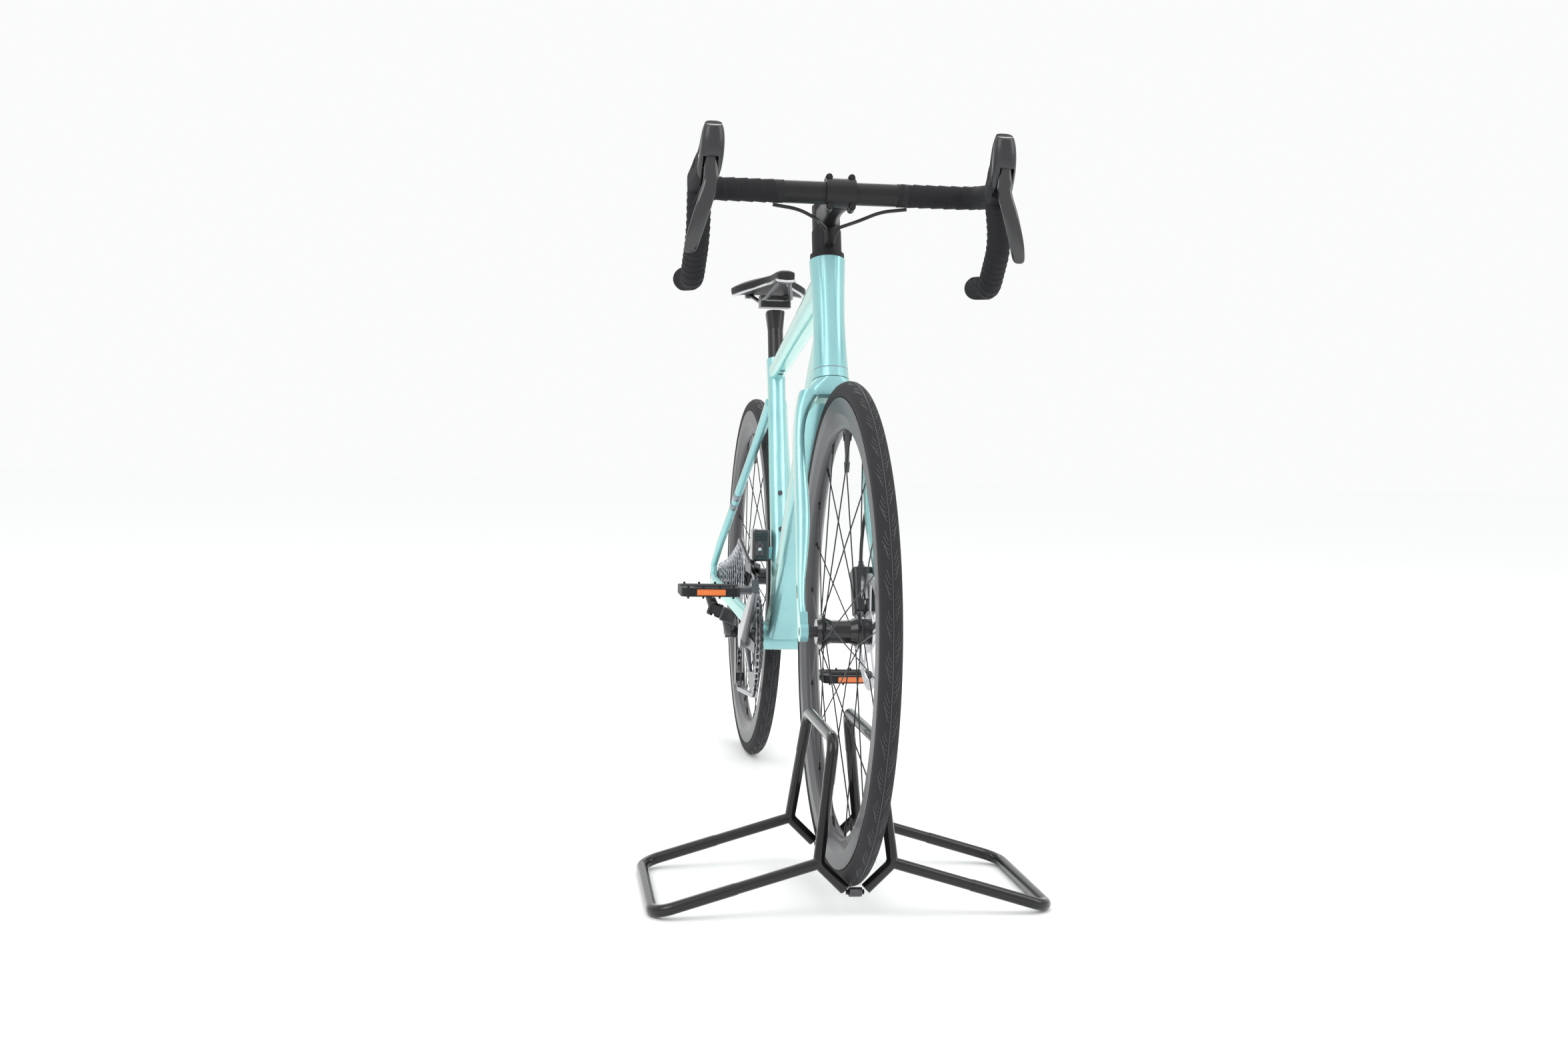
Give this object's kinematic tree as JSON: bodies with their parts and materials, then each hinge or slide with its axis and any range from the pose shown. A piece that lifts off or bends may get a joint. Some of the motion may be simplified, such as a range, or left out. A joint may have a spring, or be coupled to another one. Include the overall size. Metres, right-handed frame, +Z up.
{
  "type": "bicycle on stand",
  "caption": "Drop bar road bicycle with disc brakes and electronic shifting, held upright by a folding floor stand that clasps the front wheel.",
  "frame": {"origin": "centre of the footprint on the floor, under the middle of the bicycle and its stand", "axes": "+Z up, -Y forwards, so the front wheel and its stand are at -Y; +X is the bicycle's left side and -X its drive side"},
  "size_m": [0.539, 1.6908, 1.0307],
  "materials": {
    "frame_paint": "satin",
    "paint_band": "satin",
    "rim_dark": "satin",
    "tyre_grey": "matte",
    "spoke_black": "satin",
    "hub_black": "gloss",
    "rotor_steel": "brushed",
    "dark_metal": "satin",
    "axle_black": "satin",
    "cassette_steel": "satin",
    "chain_steel": "satin",
    "ring_dark": "satin",
    "crank_grey": "gloss",
    "black_plastic": "matte",
    "gloss_black": "gloss",
    "pulley_black": "matte",
    "pedal_black": "matte",
    "bar_black": "satin",
    "tape_grey": "matte",
    "hood_grey": "matte",
    "lever_black": "gloss",
    "hose_black": "satin",
    "bearing_steel": "satin",
    "bolt_black": "satin",
    "post_black": "satin",
    "saddle_black": "matte",
    "saddle_rail": "satin",
    "stand_black": "gloss",
    "spring_steel": "satin",
    "nipple_black": "satin",
    "reflector_orange": "gloss",
    "bright_metal": "polished",
    "mech_blue": "satin",
    "saddle_edge": "gloss"
  },
  "bodies": {
    "stand_hinge": {"stand_springs": "spring_steel"},
    "stand_left": {"stand_left": "stand_black"},
    "stand_right": {"stand_right": "stand_black"},
    "fork": {"fork": "frame_paint", "headset_spacers": "black_plastic", "stem": "bar_black", "stem_faceplate": "bar_black", "handlebar": "bar_black", "bar_tape": "tape_grey", "lever_hoods": "hood_grey", "front_caliper": "dark_metal", "brake_hoses": "hose_black", "front_axle": "axle_black"},
    "front_wheel": {"front_tyre": "tyre_grey", "front_rim": "rim_dark", "front_spokes": "spoke_black", "front_hub": "hub_black", "front_rotor": "rotor_steel"},
    "frame": {"frame": "frame_paint", "frame_bearings": "bearing_steel", "frame_bolts": "bolt_black", "front_mech_body": "gloss_black", "rear_hanger": "dark_metal", "chain": "chain_steel", "rear_caliper": "dark_metal", "rear_brake_hose": "hose_black", "rear_axle": "axle_black"},
    "rear_wheel": {"rear_tyre": "tyre_grey", "rear_rim": "rim_dark", "rear_spokes": "spoke_black", "rear_hub": "hub_black", "rear_rotor": "rotor_steel"},
    "cassette": {"cassette": "cassette_steel"},
    "crank": {"crank_right": "crank_grey", "crank_left": "crank_grey", "chainrings": "ring_dark"},
    "pedal_left": {"pedal_left": "pedal_black"},
    "pedal_right": {"pedal_right": "pedal_black"},
    "front_link": {"front_mech_link": "dark_metal"},
    "front_cage": {"front_mech_cage": "dark_metal"},
    "rear_mech": {"rear_mech_body": "dark_metal"},
    "rear_link_outer": {"rear_mech_link_outer": "black_plastic"},
    "rear_link_inner": {"rear_mech_link_inner": "black_plastic"},
    "rear_knuckle": {"rear_mech_knuckle": "gloss_black"},
    "rear_cage": {"rear_mech_cage": "dark_metal"},
    "guide_pulley": {"guide_pulley": "pulley_black"},
    "tension_pulley": {"tension_pulley": "pulley_black"},
    "seatpost": {"seatpost": "post_black"},
    "saddle": {"saddle_base": "saddle_rail", "saddle_pad": "saddle_black"},
    "brake_lever_left": {"brake_lever_left": "lever_black"},
    "brake_lever_right": {"brake_lever_right": "lever_black"},
    "shift_button_left_front": {"shift_button_left_front": "black_plastic"},
    "shift_button_left_rear": {"shift_button_left_rear": "black_plastic"},
    "shift_button_right_front": {"shift_button_right_front": "black_plastic"},
    "shift_button_right_rear": {"shift_button_right_rear": "black_plastic"},
    "front_pad_left": {"front_pad_left": "bearing_steel"},
    "front_pad_right": {"front_pad_right": "bearing_steel"},
    "rear_pad_left": {"rear_pad_left": "bearing_steel"},
    "rear_pad_right": {"rear_pad_right": "bearing_steel"}
  },
  "joints": [
    {"name": "stand_left_open", "type": "hinge", "parent": "stand_hinge", "child": "stand_left", "pos_m": [0, -0.5055, 0.033], "axis": [0, 1, 0], "range_deg": [0, 8], "deforming": ["stand_springs"]},
    {"name": "stand_right_open", "type": "hinge", "parent": "stand_hinge", "child": "stand_right", "pos_m": [0, -0.5055, 0.033], "axis": [0, 1, 0], "range_deg": [-8, 0], "deforming": ["stand_springs"]},
    {"name": "lift_out", "type": "slide", "parent": "stand_hinge", "child": "fork", "axis": [0, 0, 1], "range_m": [0, 0.35]},
    {"name": "front_wheel_spin", "type": "hinge", "parent": "fork", "child": "front_wheel", "pos_m": [0, -0.50543, 0.3564], "axis": [1, 0, 0], "continuous": true},
    {"name": "steering", "type": "hinge", "parent": "fork", "child": "frame", "pos_m": [0, -0.46348, 0.34315], "axis": [0, 0.3012, 0.9536], "range_deg": [-60, 60]},
    {"name": "rear_wheel_spin", "type": "hinge", "parent": "frame", "child": "rear_wheel", "pos_m": [0, 0.50543, 0.34], "axis": [1, 0, 0], "continuous": true},
    {"name": "crank_spin", "type": "hinge", "parent": "frame", "child": "crank", "pos_m": [0, 0.0985, 0.27559], "axis": [1, 0, 0], "continuous": true, "deforming": ["chain"]},
    {"name": "cassette_spin", "type": "hinge", "parent": "frame", "child": "cassette", "pos_m": [0, 0.50543, 0.34], "axis": [1, 0, 0], "continuous": true},
    {"name": "rear_mech_pivot", "type": "hinge", "parent": "frame", "child": "rear_mech", "pos_m": [0, 0.51396, 0.31086], "axis": [1, 0, 0], "range_deg": [0, 6], "stiffness_Nm_per_rad": 8, "deforming": ["chain"]},
    {"name": "rear_link_outer_swing", "type": "hinge", "parent": "rear_mech", "child": "rear_link_outer", "pos_m": [-0.079, 0.49843, 0.27811], "axis": [0.342, 0.0152, 0.9396], "range_deg": [-50, 0], "deforming": ["chain"]},
    {"name": "rear_link_inner_swing", "type": "hinge", "parent": "rear_mech", "child": "rear_link_inner", "pos_m": [-0.0649, 0.49835, 0.27298], "axis": [0.342, 0.0152, 0.9396], "range_deg": [-50, 0]},
    {"name": "rear_knuckle_swing", "type": "hinge", "parent": "rear_link_outer", "child": "rear_knuckle", "pos_m": [-0.06021, 0.46368, 0.27183], "axis": [0.342, 0.0152, 0.9396], "range_deg": [0, 50]},
    {"name": "rear_cage_swing", "type": "hinge", "parent": "rear_knuckle", "child": "rear_cage", "pos_m": [-0.02786, 0.47475, 0.23648], "axis": [1, 0, 0], "range_deg": [0, 45], "stiffness_Nm_per_rad": 0.8, "deforming": ["chain"]},
    {"name": "guide_pulley_spin", "type": "hinge", "parent": "rear_cage", "child": "guide_pulley", "pos_m": [-0.02786, 0.47475, 0.23648], "axis": [1, 0, 0], "continuous": true},
    {"name": "tension_pulley_spin", "type": "hinge", "parent": "rear_cage", "child": "tension_pulley", "pos_m": [-0.02786, 0.45918, 0.15191], "axis": [1, 0, 0], "continuous": true},
    {"name": "pedal_right_spin", "type": "hinge", "parent": "crank", "child": "pedal_right", "pos_m": [0, -0.0479, 0.36682], "axis": [1, 0, 0], "continuous": true},
    {"name": "pedal_left_spin", "type": "hinge", "parent": "crank", "child": "pedal_left", "pos_m": [0, 0.2449, 0.18436], "axis": [1, 0, 0], "continuous": true},
    {"name": "front_link_swing", "type": "hinge", "parent": "frame", "child": "front_link", "pos_m": [-0.044, 0.16011, 0.42361], "axis": [0, 0.9999, -0.0162], "range_deg": [-21.7, 0], "deforming": ["chain"]},
    {"name": "front_cage_swing", "type": "hinge", "parent": "front_link", "child": "front_cage", "pos_m": [-0.044, 0.15978, 0.40362], "axis": [0, 0.9999, -0.0162], "range_deg": [0, 21.7]},
    {"name": "seatpost_height", "type": "slide", "parent": "frame", "child": "seatpost", "axis": [0, 0.2912, 0.9567], "range_m": [-0.05, 0.07]},
    {"name": "saddle_setback", "type": "slide", "parent": "seatpost", "child": "saddle", "axis": [0, 0.9999, -0.0162], "range_m": [-0.01, 0.01]},
    {"name": "brake_lever_left_pull", "type": "hinge", "parent": "fork", "child": "brake_lever_left", "pos_m": [0.19643, -0.53426, 0.97149], "axis": [1, 0, 0], "range_deg": [0, 18], "stiffness_Nm_per_rad": 0.8},
    {"name": "shift_button_left_front_press", "type": "slide", "parent": "brake_lever_left", "child": "shift_button_left_front", "axis": [-1, 0, 0], "range_m": [0, 0.001], "stiffness_N_per_m": 2500},
    {"name": "shift_button_left_rear_press", "type": "slide", "parent": "brake_lever_left", "child": "shift_button_left_rear", "axis": [-1, 0, 0], "range_m": [0, 0.001], "stiffness_N_per_m": 2500},
    {"name": "brake_lever_right_pull", "type": "hinge", "parent": "fork", "child": "brake_lever_right", "pos_m": [-0.19643, -0.53426, 0.97149], "axis": [1, 0, 0], "range_deg": [0, 18], "stiffness_Nm_per_rad": 0.8},
    {"name": "shift_button_right_front_press", "type": "slide", "parent": "brake_lever_right", "child": "shift_button_right_front", "axis": [1, 0, 0], "range_m": [0, 0.001], "stiffness_N_per_m": 2500},
    {"name": "shift_button_right_rear_press", "type": "slide", "parent": "brake_lever_right", "child": "shift_button_right_rear", "axis": [1, 0, 0], "range_m": [0, 0.001], "stiffness_N_per_m": 2500},
    {"name": "front_pad_left_press", "type": "slide", "parent": "fork", "child": "front_pad_left", "axis": [-1, 0, 0], "range_m": [0, 0.0003]},
    {"name": "front_pad_right_press", "type": "slide", "parent": "fork", "child": "front_pad_right", "axis": [1, 0, 0], "range_m": [0, 0.0003]},
    {"name": "rear_pad_left_press", "type": "slide", "parent": "frame", "child": "rear_pad_left", "axis": [-1, 0, 0], "range_m": [0, 0.0003]},
    {"name": "rear_pad_right_press", "type": "slide", "parent": "frame", "child": "rear_pad_right", "axis": [1, 0, 0], "range_m": [0, 0.0003]}
  ],
  "couplings": [
    {"joint": "stand_right_open", "follows": "stand_left_open", "ratio": -1},
    {"joint": "cassette_spin", "follows": "crank_spin", "ratio": 1.4706},
    {"joint": "guide_pulley_spin", "follows": "crank_spin", "ratio": -4.5455},
    {"joint": "tension_pulley_spin", "follows": "crank_spin", "ratio": 4.5455},
    {"joint": "rear_link_inner_swing", "follows": "rear_link_outer_swing", "ratio": 1},
    {"joint": "rear_knuckle_swing", "follows": "rear_link_outer_swing", "ratio": -1},
    {"joint": "front_cage_swing", "follows": "front_link_swing", "ratio": -1},
    {"joint": "front_pad_left_press", "follows": "brake_lever_left_pull", "m_per_rad": 0.00095397},
    {"joint": "front_pad_right_press", "follows": "brake_lever_left_pull", "m_per_rad": 0.00095397},
    {"joint": "rear_pad_left_press", "follows": "brake_lever_right_pull", "m_per_rad": 0.00095397},
    {"joint": "rear_pad_right_press", "follows": "brake_lever_right_pull", "m_per_rad": 0.00095397}
  ]
}
